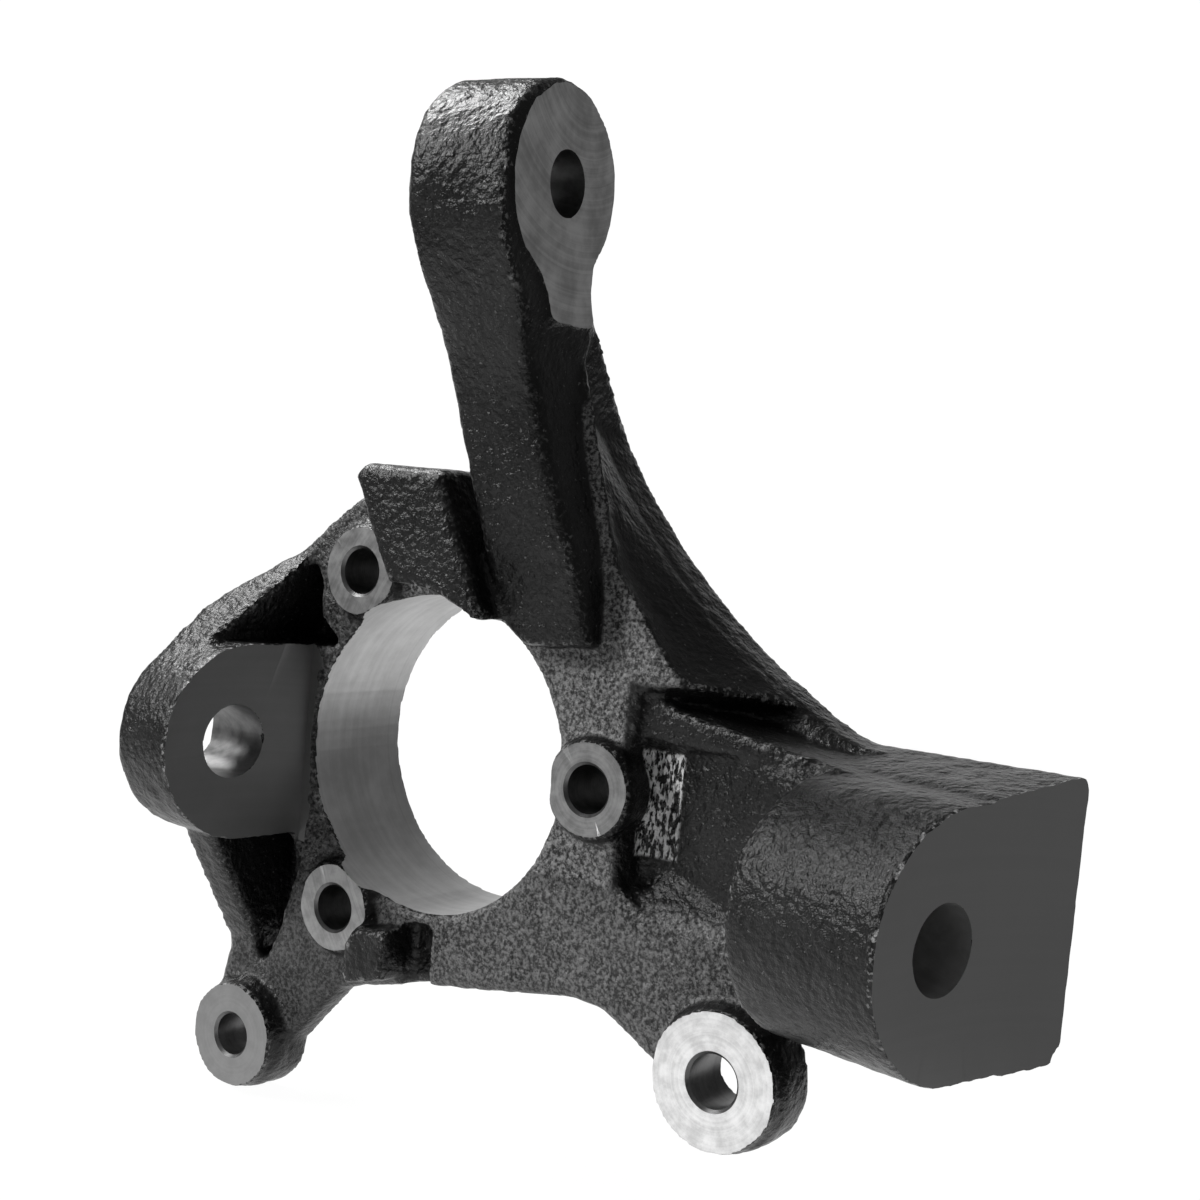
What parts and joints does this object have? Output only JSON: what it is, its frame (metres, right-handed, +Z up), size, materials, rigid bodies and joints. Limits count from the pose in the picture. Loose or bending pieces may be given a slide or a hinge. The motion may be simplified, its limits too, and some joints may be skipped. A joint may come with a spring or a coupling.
{
  "type": "steering knuckle",
  "caption": "Cast iron steering knuckle with a large hub bore, an upper arm, a heavy lower block, a side lug and two caliper ears.",
  "frame": {"origin": "on the hub bore's axis, in the plane of the three hub bolt faces", "axes": "-Y along the hub axis towards the wheel, X along the cross bores of the arms, +Z up"},
  "size_m": [0.2424, 0.0846, 0.2773],
  "materials": {
    "casting": "semi-gloss black paint over a rough sand casting, with bare machined faces"
  },
  "bodies": {
    "root": {"steering_knuckle": "casting"}
  },
  "joints": []
}
